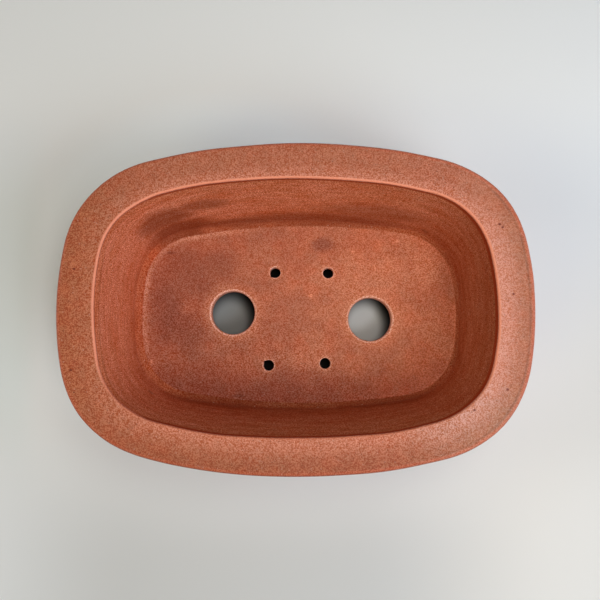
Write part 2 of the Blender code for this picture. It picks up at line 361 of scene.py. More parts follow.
LIP_OUTLINE = outline(quarter_arcs(HALF_LENGTH, HALF_WIDTH, *LIP_RADII))
OUTER_WAVE, INNER_WAVE = waved(LIP_OUTLINE, OUTER_WAVES), waved(LIP_OUTLINE, INNER_WAVES)
TOP_INSET = LIP_BREADTH + LIP_INNER_LEAN
FLOOR_HALF_SIZES = HALF_LENGTH - TOP_INSET - END_TAPER, HALF_WIDTH - TOP_INSET - SIDE_TAPER
WALL_FOOT_OUTLINE = outline(quarter_arcs(*FLOOR_HALF_SIZES, *FLOOR_RADII)) + FLOOR_SHIFT


def lip_inset(depth):
    """The lip's plan at a depth from its outer edge, between the waves of its two edges."""
    share = depth / LIP_BREADTH
    points = inset(LIP_OUTLINE, depth - OUTER_WAVE * (1 - share) - INNER_WAVE * share)
    return np.clip(points, (-HALF_LENGTH, -HALF_WIDTH), (HALF_LENGTH, HALF_WIDTH))


WALL_TOP_OUTLINE = inset(LIP_OUTLINE, TOP_INSET - INNER_WAVE)


def wall_share(height):
    """How far up the wall a height is: 0 at the floor and 1 at the lip's underside."""
    return (height - FLOOR_TOP) / (LIP_UNDERSIDE - FLOOR_TOP)


def wall_outline(height):
    """The wall's inner face at a height."""
    share = wall_share(height)
    return WALL_FOOT_OUTLINE * (1 - share) + WALL_TOP_OUTLINE * share


def outer_outline(height, out=0.0):
    """The wall's outer face at a height, or a distance beyond it."""
    belly = WALL_BELLY * math.sin(math.pi * min(max(wall_share(height), 0), 1))
    return inset(wall_outline(height), -(WALL_THICKNESS + belly + out))


def at_height(points, height):
    """A plan's points lifted to a height."""
    return np.column_stack([points, np.full(len(points), height)])


class Shape:
    """Collects corners and faces, then makes them one closed mesh object."""

    def __init__(self):
        self.corners = []
        self.faces = []
        self.marks = []
        self.count = 0

    def add(self, points, mark=0.0):
        """Adds a row of corners with a mark for the material to read: one for all of them, or one each."""
        first = self.count
        self.corners.append(points)
        self.count += len(points)
        self.marks.append(np.full(len(points), mark))
        return list(range(first, self.count))

    def strip(self, row, following):
        """Quads between two closed rows of corners."""
        for index in range(len(row)):
            after = (index + 1) % len(row)
            self.faces.append((row[index], row[after], following[after], following[index]))

    def strips(self, rows, closed=False):
        """Strips between rows that follow one another, and from the last back to the first if closed."""
        for row, following in zip(rows, rows[1:]):
            self.strip(row, following)
        if closed:
            self.strip(rows[-1], rows[0])

    def build(self, name):
        """The mesh object, smooth but for its sharp edges."""
        mesh = bpy.data.meshes.new(name)
        corners = np.concatenate(self.corners)
        mesh.from_pydata(corners.tolist(), [], self.faces)
        mesh.update()
        mark = mesh.attributes.new("mark", "FLOAT", "POINT")
        mark.data.foreach_set("value", np.concatenate(self.marks))
        made = bpy.data.objects.new(name, mesh)
        bpy.context.scene.collection.objects.link(made)
        face_out(mesh)
        mesh.shade_smooth()
        mesh.set_sharp_from_angle(angle=SMOOTH_ANGLE)
        return made


def face_out(mesh):
    """Turns the faces so that they agree and point out of the body."""
    shape = bmesh.new()
    shape.from_mesh(mesh)
    bmesh.ops.recalc_face_normals(shape, faces=shape.faces)
    if shape.calc_volume(signed=True) < 0:
        bmesh.ops.reverse_faces(shape, faces=shape.faces)
    shape.to_mesh(mesh)
    shape.free()


def lip_section():
    """The lip's section as (depth from its edge, height), from its outer underside to under its bead."""
    outer, bead, step = LIP_OUTER_ROUNDING, LIP_BEAD_ROUNDING, LIP_BEAD_STEP
    section = arc((outer, LIP_UNDERSIDE + outer), outer, 270, 180, ROUNDING_STEPS)
    section += arc((outer, POT_TOP - outer), outer, 180, 90, LARGE_ROUNDING_STEPS)
    flat_start, flat_end = outer, LIP_BREADTH - bead
    for share in np.linspace(0, 1, LIP_FLAT_STEPS + 1)[1:-1]:
        section.append((flat_start + (flat_end - flat_start) * share, POT_TOP))
    section += arc((flat_end, POT_TOP - bead), bead, 90, 0, LARGE_ROUNDING_STEPS)
    turn_under = POT_TOP - LIP_BEAD_HEIGHT + step
    return section + arc((LIP_BREADTH - step, turn_under), step, 0, -90, SMALL_ROUNDING_STEPS)


def make_lip():
    """The lip. Its inner face below the bead is the wall's own face carried on upwards."""
    shape = Shape()
    rows = []
    for depth, height in lip_section():
        rows.append(shape.add(at_height(lip_inset(depth), height), depth * MM))
    under_bead = POT_TOP - LIP_BEAD_HEIGHT
    wall_start = lip_inset(LIP_BREADTH - LIP_BEAD_STEP)
    for share in np.linspace(0, 1, LIP_INNER_STEPS + 1)[1:]:
        height = under_bead + (LIP_UNDERSIDE - under_bead) * share
        across = wall_start * (1 - share) + WALL_TOP_OUTLINE * share
        rows.append(shape.add(at_height(across, height), WALL_MARK + WALL_MARK_RISE * share))
    for share in np.linspace(0, 1, LIP_UNDER_STEPS + 1)[1:-1]:
        across = WALL_TOP_OUTLINE * (1 - share) + lip_inset(LIP_OUTER_ROUNDING) * share
        rows.append(shape.add(at_height(across, LIP_UNDERSIDE), LIP_BREADTH / 2 * MM))
    shape.strips(rows, closed=True)
    return shape.build("lip_clay")


def make_wall():
    """The wall, from where the cove ends inside, up under the lip and down to the slab outside."""
    shape = Shape()
    cove_top = FLOOR_TOP + COVE_RADIUS
    rows = []
    for height in np.linspace(cove_top, LIP_UNDERSIDE, WALL_ROWS):
        rows.append(shape.add(at_height(wall_outline(height), height), INNER_FACE_MARK))
    fillet = UNDER_LIP_FILLET
    for out, height in arc((fillet, LIP_UNDERSIDE - fillet), fillet, 90, 180, ROUNDING_STEPS):
        rows.append(shape.add(at_height(outer_outline(height, out), height)))
    for height in np.linspace(LIP_UNDERSIDE - fillet, FLOOR_TOP, WALL_ROWS)[1:]:
        rows.append(shape.add(at_height(outer_outline(height), height)))
    rows.append(shape.add(at_height(wall_outline(FLOOR_TOP), FLOOR_TOP)))
    shape.strips(rows, closed=True)
    return shape.build("wall_clay")


def hole_ring(centre, radius, count, nick, out):
    """One ring of a hole's wall, with the nick in its edge where it has one."""
    turns = np.arange(count) * math.tau / count
    reach = np.full(count, radius + out)
    if nick is not None:
        away = (np.degrees(turns) - nick + 180) % 360 - 180
        reach = reach + NICK_DEPTH * np.exp(-((away / NICK_SPREAD) ** 2))
    return np.column_stack([centre[0] + reach * np.cos(turns), centre[1] + reach * np.sin(turns)])


def inside(points, loop):
    """Which points lie inside a closed loop."""
    x, y = points[:, 0, None], points[:, 1, None]
    start, end = loop, np.roll(loop, -1, 0)
    crosses = (start[:, 1] > y) != (end[:, 1] > y)
    rise = np.where(end[:, 1] == start[:, 1], 1, end[:, 1] - start[:, 1])
    at = start[:, 0] + (y - start[:, 1]) / rise * (end[:, 0] - start[:, 0])
    return np.sum(crosses & (x < at), axis=1) % 2 == 1


def even_grid(edge, holes):
    """Points on an even triangular grid, inside an outline and clear of it and of its holes."""
    low, high = edge.min(0), edge.max(0)
    points = []
    for row, y in enumerate(np.arange(low[1], high[1], FLOOR_SPACING * math.sqrt(3) / 2)):
        shift = FLOOR_SPACING / 2 * (row % 2)
        points += [(x, y) for x in np.arange(low[0] + shift, high[0], FLOOR_SPACING)]
    points = np.array(points)
    keep = inside(points, inset(edge, GRID_CLEARANCE))
    for hole in holes:
        keep &= ~inside(points, inset(hole, -GRID_CLEARANCE))
    return points[keep]


def sheet(shape, edge_row, hole_rows, height):
    """A flat sheet of triangles from an outer row of corners to the rows round its holes."""
    corners = np.concatenate(shape.corners)[:, :2]
    holes = [corners[row] for row in hole_rows]
    inner = even_grid(corners[edge_row], holes)
    rows = [edge_row] + hole_rows
    from_edge = np.linalg.norm(inner[:, None] - corners[edge_row][None], axis=2).min(1)
    known = [corner for row in rows for corner in row]
    known += shape.add(at_height(inner, height), from_edge * MM)
    flat = np.concatenate([corners[edge_row]] + holes + [inner])
    edges, first = [], 0
    for row in rows:
        edges += [(first + index, first + (index + 1) % len(row)) for index in range(len(row))]
        first += len(row)
    made = delaunay_2d_cdt([Vector(point) for point in flat], edges, [], 0, MERGE_DISTANCE)
    faces, origins = made[2], made[3]
    faces = [[origins[corner][0] for corner in face] for face in faces]
    middles = np.array([flat[face].mean(0) for face in faces])
    keep = inside(middles, corners[edge_row])
    for hole in holes:
        keep &= ~inside(middles, hole)
    for face, kept in zip(faces, keep):
        if kept:
            shape.faces.append(tuple(known[corner] for corner in face))


def make_floor():
    """The slab with its holes, and the coil smoothed into its corner as a cove."""
    shape = Shape()
    rows = []
    for depth, rise in arc((COVE_RADIUS, COVE_RADIUS), COVE_RADIUS, 270, 180, LARGE_ROUNDING_STEPS):
        height = FLOOR_TOP + rise
        mark = (depth - COVE_RADIUS) * MM
        rows.append(shape.add(at_height(inset(wall_outline(height), depth), height), mark))
    floor_edge = rows[0]
    rows.append(shape.add(at_height(wall_outline(FLOOR_TOP), FLOOR_TOP)))
    rows.append(shape.add(at_height(outer_outline(FLOOR_TOP), FLOOR_TOP)))
    rounding = FLOOR_ROUNDING
    for depth, height in arc((rounding, FLOOR_UNDERSIDE + rounding), rounding, 180, 270, ROUNDING_STEPS):
        rows.append(shape.add(at_height(outer_outline(height, -depth), height)))
    shape.strips(rows)
    upper_rows, lower_rows = [], []
    lower = HOLE_LOWER_ROUNDING
    for centre, (radius, upper, count), nick in HOLES:
        section = arc((upper, FLOOR_TOP - upper), upper, 90, 180, ROUNDING_STEPS)
        section += arc((lower, FLOOR_UNDERSIDE + lower), lower, 180, 270, SMALL_ROUNDING_STEPS)
        ring = []
        for out, height in section:
            edge = hole_ring(centre, radius, count, nick, out)
            ring.append(shape.add(at_height(edge, height), HOLE_MARK))
        shape.strips(ring)
        upper_rows.append(ring[0])
        lower_rows.append(ring[-1])
    sheet(shape, floor_edge, upper_rows, FLOOR_TOP)
    sheet(shape, rows[-1], lower_rows, FLOOR_UNDERSIDE)
    return shape.build("floor_clay")


def foot_middle(to_right, to_back):
    """The line along the middle of a foot, following the slab's corner."""
    centre, radius, _, _ = quarter_arcs(*FLOOR_HALF_SIZES, *FLOOR_RADII)[1]
    radius += WALL_THICKNESS - FOOT_INSET - FOOT_BREADTH / 2
    start, stop = math.radians(FOOT_MIDDLE - FOOT_REACH / 2), math.radians(FOOT_MIDDLE + FOOT_REACH / 2)
    return arc_points(centre, radius, start, stop, FOOT_STEPS) * (to_right, to_back)


def round_end(centre, side, reach):
    """Half a circle about the end of a band, from opposite its side direction round to it."""
    onward = np.array([side[1], -side[0]])
    turns = np.linspace(0, math.pi, FOOT_END_STEPS + 1)[1:-1]
    return [centre + reach * (onward * math.sin(turn) - side * math.cos(turn)) for turn in turns]


def foot_outline(middle, reach):
    """A band with round ends about a foot's middle line."""
    tangent = np.gradient(middle, axis=0)
    side = np.column_stack([-tangent[:, 1], tangent[:, 0]])
    side /= np.linalg.norm(side, axis=1)[:, None]
    points = [*(middle - side * reach), *round_end(middle[-1], side[-1], reach)]
    points += [*(middle + side * reach)[::-1], *round_end(middle[0], -side[0], reach)]
    return np.array(points)


def make_foot(end, side):
    """One bracket foot, rounded below and blended into the slab above."""
    middle = foot_middle(1 if side == "right" else -1, 1 if end == "back" else -1)
    half = FOOT_BREADTH / 2
    fillet, steps = FOOT_FILLET, FOOT_ROUNDING_STEPS
    section = arc((half - FOOT_ROUNDING, FOOT_ROUNDING), FOOT_ROUNDING, 270, 360, steps)
    section += [(half, FLOOR_UNDERSIDE - fillet - FOOT_LAST_ROW)]
    section += arc((half + fillet, FLOOR_UNDERSIDE - fillet), fillet, 180, 90, steps)
    shape = Shape()
    rows = [shape.add(at_height(foot_outline(middle, reach), height)) for reach, height in section]
    shape.strips(rows)
    shape.faces.append(tuple(rows[0]))
    shape.faces.append(tuple(rows[-1]))
    return shape.build(f"foot_{end}_{side}_clay")


def linear(colour):
    """A colour given in 0 to 255 as the display shows it, as linear RGBA."""
    shares = [value / 255 for value in colour]
    return [s / 12.92 if s <= 0.04045 else ((s + 0.055) / 1.055) ** 2.4 for s in shares] + [1.0]


class Graph:
    """A material's nodes, with short calls to add to them.

    Lengths are in millimetres, and places are measured from the point on the table under the pot's middle.
    """

    def __init__(self, name, specular):
        self.material = bpy.data.materials.new(name)
        self.material.use_nodes = True
        self.tree = self.material.node_tree
        self.shader = self.tree.nodes["Principled BSDF"]
        self.shader.inputs["Specular IOR Level"].default_value = specular
        place = self.add("ShaderNodeTexCoord").outputs["Object"]
        self.place = self.vector("SCALE", place, Scale=MM)
        parts = self.add("ShaderNodeSeparateXYZ", {0: self.place})
        self.x, self.y, self.z = parts.outputs

    def add(self, kind, inputs=None, **settings):
        """A new node, with its settings, and with sockets or values for its inputs."""
        made = self.tree.nodes.new(kind)
        for name, value in settings.items():
            setattr(made, name, value)
        for name, value in (inputs or {}).items():
            if isinstance(value, bpy.types.NodeSocket):
                self.tree.links.new(value, made.inputs[name])
            else:
                made.inputs[name].default_value = value
        return made

    def math(self, operation, *values):
        """A calculation with numbers."""
        return self.add("ShaderNodeMath", dict(enumerate(values)), operation=operation).outputs[0]

    def vector(self, operation, *values, **named):
        """A calculation with vectors."""
        inputs = {**dict(enumerate(values)), **named}
        made = self.add("ShaderNodeVectorMath", inputs, operation=operation)
        return made.outputs["Value" if operation == "LENGTH" else "Vector"]

    def mark(self):
        """The mark that the mesh carries."""
        return self.add("ShaderNodeAttribute", attribute_name="mark").outputs["Fac"]

    def mix(self, share, first, second, blend="MIX"):
        """A colour between two others, or the second blended with the first."""
        inputs = {0: share, 6: first, 7: second}
        return self.add("ShaderNodeMix", inputs, data_type="RGBA", blend_type=blend).outputs[2]

    def tinted(self, colour, share, start, end):
        """A colour times a tint, which goes from its start to its end as the share goes from 0 to 1."""
        return self.mix(1.0, colour, self.mix(share, (*start, 1), (*end, 1)), "MULTIPLY")

    def between(self, share, first, second):
        """A number between two others."""
        return self.add("ShaderNodeMix", {0: share, 2: first, 3: second}, data_type="FLOAT").outputs[0]

    def step(self, value, low, high, bottom=0.0, top=1.0):
        """Rises smoothly from bottom to top as the value goes from low to high."""
        inputs = {"Value": value, "From Min": low, "From Max": high, "To Min": bottom, "To Max": top}
        return self.add("ShaderNodeMapRange", inputs, interpolation_type="SMOOTHSTEP").outputs[0]

    def band(self, value, low, high, soft):
        """1 between low and high, and 0 beyond them, with soft ends."""
        rise, fall = self.step(value, low - soft, low + soft), self.step(value, high + soft, high - soft)
        return self.math("MULTIPLY", rise, fall)

    def noise(self, size, detail, stretch=(1, 1, 1), shift=0.0, roughness=0.5):
        """A soft noise from 0 to 1, with lumps about size across, or longer along an axis by stretch."""
        spread = tuple(1 / (size * factor) for factor in stretch)
        at = self.vector("MULTIPLY", self.place, spread)
        at = self.vector("ADD", at, (shift, shift * 1.7, shift * 0.6))
        inputs = {"Vector": at, "Scale": 1.0, "Detail": detail, "Roughness": roughness}
        return self.add("ShaderNodeTexNoise", inputs).outputs[0]

    def grains(self, size, radius, share, shift=0.0):
        """Round grains: a cell of the given size holds one by the given share, with the given radius."""
        at = self.vector("SCALE", self.place, Scale=1 / size)
        at = self.vector("ADD", at, (shift, shift, shift))
        cells = self.add("ShaderNodeTexVoronoi", {"Vector": at, "Scale": 1.0})
        chosen = self.add("ShaderNodeSeparateColor", {0: cells.outputs["Color"]}).outputs[0]
        near = self.step(cells.outputs["Distance"], radius * 1.3, radius * 0.6)
        return self.math("MULTIPLY", near, self.math("LESS_THAN", chosen, share))

    def spot(self, centre, size, soft=0.5, rough=0.0):
        """A soft oval mark at a place, with the given half sizes."""
        away = self.vector("SUBTRACT", self.place, centre)
        away = self.vector("DIVIDE", away, size)
        reach = self.vector("LENGTH", away)
        if rough:
            ragged = self.noise(min(size) * 0.7, detail=3.0)
            reach = self.math("MULTIPLY_ADD", self.math("SUBTRACT", ragged, 0.5), rough, reach)
        return self.step(reach, 1 + soft, 1 - soft)

    def finish(self, colour, roughness, height, depth):
        """Connects colour, roughness and relief to the shader; depth is the relief's height."""
        link = self.tree.links.new
        link(colour, self.shader.inputs["Base Color"])
        link(roughness, self.shader.inputs["Roughness"])
        bump = self.add("ShaderNodeBump", {"Height": height, "Distance": depth / MM})
        link(bump.outputs[0], self.shader.inputs["Normal"])
        return self.material


def sanded(graph, colour, strength=1.0):
    """Turns a colour darker and paler with the clay's sand. Returns it and the relief."""
    fine = graph.noise(SAND_SIZE, detail=1.0, shift=3.1)
    darker = [max(0, 1 - share * strength) for share in SAND_DOWN]
    paler = [1 + share * strength for share in SAND_UP]
    colour = graph.tinted(colour, graph.step(fine, 0.32, 0.68), darker, paler)
    dark = graph.grains(size=1.3, radius=0.32, share=0.09)
    pale = graph.grains(size=1.5, radius=0.3, share=0.06, shift=7.7)
    colour = graph.mix(graph.math("MULTIPLY", dark, 0.4 * strength), colour, linear(DARK_GRAIN_AND_SHADE))
    colour = graph.mix(graph.math("MULTIPLY", pale, 0.22 * strength), colour, linear(PALE_GRAIN))
    height = graph.math("MULTIPLY_ADD", pale, 0.5, fine)
    return colour, graph.math("MULTIPLY_ADD", dark, -0.5, height)


def mottled(graph, colour, second, size, share, stretch=(1, 1, 1), shift=0.0):
    """Lets a second tone through in soft clouds."""
    cloud = graph.noise(size, detail=3.0, stretch=stretch, shift=shift)
    return graph.mix(graph.step(cloud, 0.36, 0.64, top=share), colour, linear(second))


def marked(graph, colour, marks, tone):
    """Soft marks in one tone, each with a place, three half sizes and a strength. The larger are ragged."""
    share = 0.0
    for x, y, z, *size, strength in marks:
        spot = graph.spot((x, y, z), size, rough=0.5 if max(size) > 3 else 0.0)
        share = graph.math("MAXIMUM", share, graph.math("MULTIPLY", spot, strength))
    return graph.mix(share, colour, linear(tone))


def wall_face(graph):
    """The wiped clay inside the pot, as its colour and relief, with the streaks of the wiping, and painted
    light and shade on its walls.
    """
    colour = mottled(graph, linear(WALL_TONE), WALL_RED, size=9, share=0.8, stretch=(4, 4, 1))
    colour = mottled(graph, colour, WALL_WORN, size=6, share=0.5, stretch=(5, 5, 1), shift=9)
    colour, relief = sanded(graph, colour, strength=1.05)
    streaks = graph.noise(1.3, detail=3.0, stretch=(8, 8, 1), roughness=0.6)
    colour = graph.tinted(colour, graph.step(streaks, 0.25, 0.75), (0.88, 0.84, 0.8), (1.12, 1.16, 1.2))
    # Painted light and shade: brighter at the back and left, which face the lamps, and darker at the front
    # and right. It is also darker towards the bottom, and a little at the far left
    across = graph.math("MULTIPLY_ADD", graph.y, 0.8, graph.math("MULTIPLY", graph.x, -0.5))
    colour = graph.tinted(colour, graph.step(across, -65, 65), (0.78, 0.78, 0.74), (1.2, 1.2, 1.26))
    colour = graph.tinted(colour, graph.step(graph.z, 20, 56), (0.84, 0.74, 0.64), (1.02, 1.06, 1.08))
    colour = graph.tinted(colour, graph.step(graph.x, -118, -96), (0.96, 0.97, 0.97), PLAIN)
    # Painted light along the back wall
    back = graph.math("MULTIPLY", graph.step(graph.y, 40, 66), graph.band(graph.x, -98, 98, soft=16))
    colour = graph.tinted(colour, back, PLAIN, (1.05, 1.12, 1.12))
    # Painted light at the top of the front wall
    front = graph.math("MULTIPLY", graph.step(graph.y, -60, -72), graph.step(graph.z, 40, 80))
    colour = graph.tinted(colour, front, PLAIN, (1.16, 1.3, 1.36))
    # Stains, and painted shade low along the wall's foot
    colour = marked(graph, colour, WALL_STAINS_AND_SHADE, WALL_STAIN_AND_SHADE)
    colour = marked(graph, colour, WALL_SMEARS, PALE_GRAIN)
    sparkle = graph.grains(size=2.7, radius=0.15, share=0.12, shift=4.3)
    colour = graph.mix(graph.math("MULTIPLY", sparkle, 0.4), colour, linear(PALE_GRAIN))
    return colour, graph.math("MULTIPLY_ADD", streaks, 1.2, relief)


def lip_fired(graph, depth, top):
    """The lip's clay before its sand: paler towards the bead, uneven from the firing, and with painted
    light and shade across it.
    """
    colour = mottled(graph, linear(LIP_TONE), LIP_RED, size=13, share=0.45)
    colour = mottled(graph, colour, LIP_BROWN, size=7, share=0.4, shift=5)
    at_back = graph.step(graph.y, 55, 85)
    # It is paler towards the bead, and less so at the left
    inner_pale = graph.step(depth, 3.0, 23.0, top=0.55)
    inner_pale = graph.between(at_back, inner_pale, graph.step(depth, 12.0, 22.5, bottom=0.22, top=0.62))
    inner_pale = graph.math("MULTIPLY", inner_pale, graph.step(graph.x, -140, -70, bottom=0.35))
    colour = graph.mix(inner_pale, colour, linear(LIP_PALE))
    # Painted light and sheen make the lip paler and pinker at the right, and painted shade makes it a
    # little darker at the left, the back and the outer front
    colour = graph.tinted(colour, graph.step(graph.x, 62, 128), PLAIN, (1.15, 1.42, 1.74))
    colour = graph.tinted(colour, graph.step(graph.x, -105, -145), PLAIN, (1, 0.95, 0.82))
    colour = graph.tinted(colour, graph.spot((114, -78, top), (38, 28, 30)), PLAIN, (0.98, 1.13, 1.24))
    colour = graph.tinted(colour, graph.spot((114, 76, top), (34, 28, 30)), PLAIN, (0.97, 0.88, 0.82))
    colour = graph.tinted(colour, at_back, (0.94, 0.99, 1.03), (0.898, 0.955, 1.01))
    front = graph.math("MULTIPLY", graph.step(graph.y, -60, -92), graph.step(depth, 21, 9))
    front = graph.math("MULTIPLY", front, graph.step(graph.x, 110, 50))
    return graph.tinted(colour, front, PLAIN, (0.92, 0.88, 0.82))


def lip_edge(graph, colour, depth):
    """The lip's outer edge: redder, with painted shade where it turns away from the light, and a faint line
    beside it at the right.
    """
    at_edge = graph.band(depth, -1.0, 2.6, soft=0.5)
    at_edge = graph.math("MULTIPLY", at_edge, graph.step(graph.x, -60, 110, bottom=0.2, top=0.35))
    colour = graph.mix(at_edge, colour, linear(EDGE_RED))
    # Painted shade on the rounding where it turns away from the light, at the front and back
    turning_shade = graph.step(depth, 1.1, 0.2)
    at_front = graph.step(graph.y, -50, -95, top=0.45)
    behind = graph.step(graph.y, 60, 98, top=0.3)
    turning_shade = graph.math("MULTIPLY", turning_shade, graph.math("ADD", at_front, behind))
    colour = graph.mix(turning_shade, colour, linear(DARK_GRAIN_AND_SHADE))
    crease = graph.band(depth, 3.2, 4.4, soft=0.5)
    crease = graph.math("MULTIPLY", crease, graph.step(graph.x, 60, 130, top=0.3))
    crease = graph.math("MULTIPLY", crease, graph.step(graph.noise(40, detail=1.0), 0.3, 0.6))
    return graph.mix(crease, colour, linear(DARK_GRAIN_AND_SHADE))


def lip_seams(graph, colour, depth):
    """Painted shade in a dark line under the bead, and at the left a dark crease where the lip joins the
    wall.
    """
    # Painted shade under the bead: wider at the front and right, and none at the far left
    line_end = graph.step(graph.y, -80, -20, bottom=WALL_MARK + 6.5, top=WALL_MARK + 4.0)
    line_end = graph.math("ADD", line_end, graph.step(graph.x, 85, 120, top=2.4))
    line_end = graph.math("MINIMUM", line_end, WALL_MARK + 7.0)
    past_line = graph.math("SUBTRACT", depth, line_end)
    under_bead = graph.math("MULTIPLY", graph.step(past_line, 1.2, -1.2), graph.step(depth, 24.0, 30.0))
    under_bead = graph.math("MULTIPLY", under_bead, graph.step(graph.x, -115, -85, top=0.85))
    colour = graph.mix(under_bead, colour, linear(UNDER_BEAD_SHADE))
    seam = graph.step(depth, WALL_MARK + 6, WALL_MARK + 9)
    seam = graph.math("MULTIPLY", seam, graph.step(graph.x, -95, -115, top=0.2))
    return graph.mix(seam, colour, linear(CREASE_TONE))


def lip_material():
    """The lip's sanded clay, with its bead worn pale and given a painted highlight, painted shade under the
    bead, and the wiped clay on its inner face.
    """
    graph = Graph("lip_clay", specular=0.31)
    depth, top = graph.mark(), POT_TOP * MM
    even = lip_edge(graph, lip_fired(graph, depth, top), depth)
    colour, relief = sanded(graph, even)
    # The sand shows less at the right, and a little less at the front and back
    long_sides = graph.step(graph.math("ABSOLUTE", graph.y), 60, 85, top=0.16)
    less_sand = graph.math("MAXIMUM", graph.step(graph.x, 70, 130, top=0.42), long_sides)
    colour = graph.mix(less_sand, colour, even)
    # The bead is painted pale: partly wear, and partly a painted highlight where its rounding catches the
    # light, weaker at the front
    on_top = graph.step(graph.z, top - 1.5, top - 0.7)
    bead = graph.math("MULTIPLY", graph.step(depth, 21.6, 22.9, top=0.85), on_top)
    bead = graph.math("MULTIPLY", bead, graph.step(graph.y, -62, -25, bottom=0.3))
    colour = graph.mix(bead, colour, linear(BEAD_WEAR_AND_HIGHLIGHT))
    for x, y, size in LIP_SPECKS:
        spot = graph.spot((x, y, top), (size, size * 0.8, 2), soft=0.4, rough=0.8)
        colour = graph.mix(graph.math("MULTIPLY", spot, 0.95), colour, linear(CREASE_TONE))
    inner_colour, inner_relief = wall_face(graph)
    inner_colour = graph.tinted(inner_colour, 1.0, PLAIN, (0.98, 0.94, 0.82))
    on_wall = graph.step(depth, 26.0, 30.0)
    colour = graph.mix(on_wall, colour, inner_colour)
    colour = lip_seams(graph, colour, depth)
    relief = graph.between(on_wall, relief, inner_relief)
    # The sand's tops are rubbed smoother than the hollows, and the inner face is matt
    roughness = graph.step(relief, 0.2, 0.8, bottom=0.6, top=0.36)
    roughness = graph.math("MAXIMUM", roughness, graph.step(depth, 24.0, 28.0, top=0.95))
    return graph.finish(colour, roughness, relief, depth=0.4)


def wall_material():
    """The wall's rougher clay outside, and the wiped clay inside."""
    graph = Graph("wall_clay", specular=0.08)
    outside = mottled(graph, linear(WALL_TONE), LIP_BROWN, size=16, share=0.6, stretch=(3, 3, 1))
    outside, relief = sanded(graph, outside)
    inside, inner_relief = wall_face(graph)
    on_inside = graph.step(graph.mark(), 0.4, 0.6)
    colour = graph.mix(on_inside, outside, inside)
    relief = graph.between(on_inside, relief, inner_relief)
    roughness = graph.step(relief, 0.2, 2.0, bottom=0.7, top=0.5)
    return graph.finish(colour, roughness, relief, depth=0.2)


def floor_material():
    """The floor's sanded and stained clay with painted light and shade, painted light on its edge beside
    the cove, rubbed rims at its holes, and the wiped clay on the cove.
    """
    graph = Graph("floor_clay", specular=0.25)
    colour = mottled(graph, linear(FLOOR_TONE), FLOOR_RED, size=14, share=0.8)
    colour = mottled(graph, colour, FLOOR_STAIN_AND_SHADE, size=22, share=0.25, shift=4)
    # Painted light: the edge beside the cove is paler at the back and left, where the cove faces the lamps
    edge = graph.math("MULTIPLY_ADD", graph.x, 0.011, graph.mark())
    rubbed_and_lit = graph.band(edge, -0.5, 3.0, soft=1.6)
    rubbed_and_lit = graph.math("MULTIPLY", rubbed_and_lit, graph.noise(30, detail=1.0, shift=2))
    turned = graph.math("MULTIPLY_ADD", graph.y, 0.8, graph.math("MULTIPLY", graph.x, -1))
    rubbed_and_lit = graph.math("MULTIPLY", rubbed_and_lit, graph.step(turned, 70, 110, bottom=0.1, top=1.2))
    colour = graph.mix(rubbed_and_lit, colour, linear(FLOOR_PALE))
    # Painted light makes the floor brighter towards the right, and it is darker at the left; painted shadow
    # of the front wall darkens its front
    colour = graph.tinted(colour, graph.step(graph.x, -100, 100), (0.89, 0.97, 1.07), (1.16, 1.33, 1.4))
    colour = graph.tinted(colour, graph.step(graph.y, -66, -30), (0.81, 0.63, 0.61), PLAIN)
    # Stains and smears lie on the floor, with a patch of painted shade at its front and one of painted
    # light at the back right, and the rims of the holes are rubbed
    level = FLOOR_TOP * MM
    for marks, tone in ((FLOOR_STAINS_AND_SHADE, FLOOR_STAIN_AND_SHADE), (FLOOR_SMEARS_AND_LIGHT, FLOOR_PALE)):
        places = [(x, y, level, *size, FLOOR_MARK_HEIGHT, share) for x, y, *size, share in marks]
        colour = marked(graph, colour, places, tone)
    for (x, y), (radius, rounding, _), _ in HOLES:
        away = graph.vector("SUBTRACT", graph.place, (x * MM, y * MM, 0))
        reach = graph.vector("LENGTH", graph.vector("MULTIPLY", away, (1, 1, 0)))
        rim = (radius + rounding) * MM
        smoothed = graph.math("MULTIPLY", graph.step(reach, rim + radius * MM * 0.5, rim), 0.35)
        colour = graph.mix(smoothed, colour, linear(FLOOR_PALE))
        rubbed_and_lit = graph.math("MULTIPLY", graph.band(reach, rim - 1.5, rim - 0.1, soft=0.35), 0.7)
        colour = graph.mix(rubbed_and_lit, colour, linear(RIM_TONE))
    even = colour
    colour, relief = sanded(graph, colour)
    # The sand shows less away from the darker left and front
    less_sand = graph.step(graph.math("MULTIPLY_ADD", graph.x, 0.5, graph.y), -50, 0, top=0.2)
    colour = graph.mix(less_sand, colour, even)
    wall_colour, wall_relief = wall_face(graph)
    on_cove = graph.math("MULTIPLY", graph.step(edge, 0.3, -0.9), graph.step(graph.z, level - 1, level))
    colour = graph.mix(on_cove, colour, wall_colour)
    relief = graph.between(on_cove, relief, wall_relief)
    roughness = graph.step(relief, 0.2, 0.8, bottom=0.6, top=0.42)
    roughness = graph.between(on_cove, roughness, 0.9)
    return graph.finish(colour, roughness, relief, depth=0.3)


def foot_material():
    """The feet's plain sanded clay."""
    graph = Graph("foot_clay", specular=0.2)
    colour = mottled(graph, linear(FLOOR_TONE), LIP_BROWN, size=10, share=0.6)
    colour, relief = sanded(graph, colour)
    roughness = graph.step(relief, 0.2, 0.8, bottom=0.55, top=0.75)
    return graph.finish(colour, roughness, relief, depth=0.2)


def dress(piece, nodes, material):
    """Gives a piece its clay and its slot, and puts it in the place of the solids' nodes."""
    piece.data.materials.append(material)
    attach(piece, "root")
    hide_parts(*nodes)


